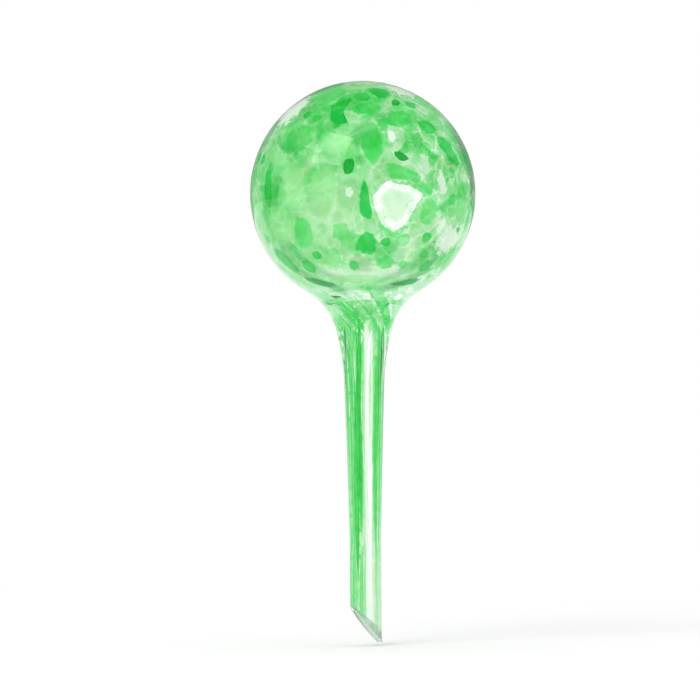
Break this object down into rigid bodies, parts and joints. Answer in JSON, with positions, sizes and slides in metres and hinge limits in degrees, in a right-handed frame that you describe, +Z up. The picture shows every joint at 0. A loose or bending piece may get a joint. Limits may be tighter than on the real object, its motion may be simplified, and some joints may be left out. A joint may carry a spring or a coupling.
{
  "type": "watering globe",
  "caption": "Blown glass plant waterer: a hollow bulb with green and white glass chips in its skin, on a long hollow stem cut aslant at the tip.",
  "frame": {"origin": "on the axis of the stem, level with the lowest point of the bevelled tip", "axes": "+Z up along the stem towards the bulb, -Y towards the front, which the slanting opening of the tip half faces from the -X side"},
  "size_m": [0.06, 0.06, 0.15],
  "materials": {
    "clear_glass": "clear soda glass, fire polished",
    "deep_green_glass": "deep green glass, fire polished",
    "mid_green_glass": "mid green glass, fire polished",
    "pale_green_glass": "pale green glass, fire polished",
    "opal_white_glass": "opal white glass, fire polished",
    "dark_grain_glass": "dense dark green glass"
  },
  "bodies": {
    "root": {"clear_glass_body": "clear_glass", "deep_green_chips": "deep_green_glass", "mid_green_chips": "mid_green_glass", "pale_green_chips": "pale_green_glass", "opal_white_chips": "opal_white_glass", "dark_grain_chips": "dark_grain_glass", "deep_green_streaks": "deep_green_glass", "mid_green_streaks": "mid_green_glass", "pale_green_streaks": "pale_green_glass", "opal_white_streaks": "opal_white_glass"}
  },
  "joints": []
}
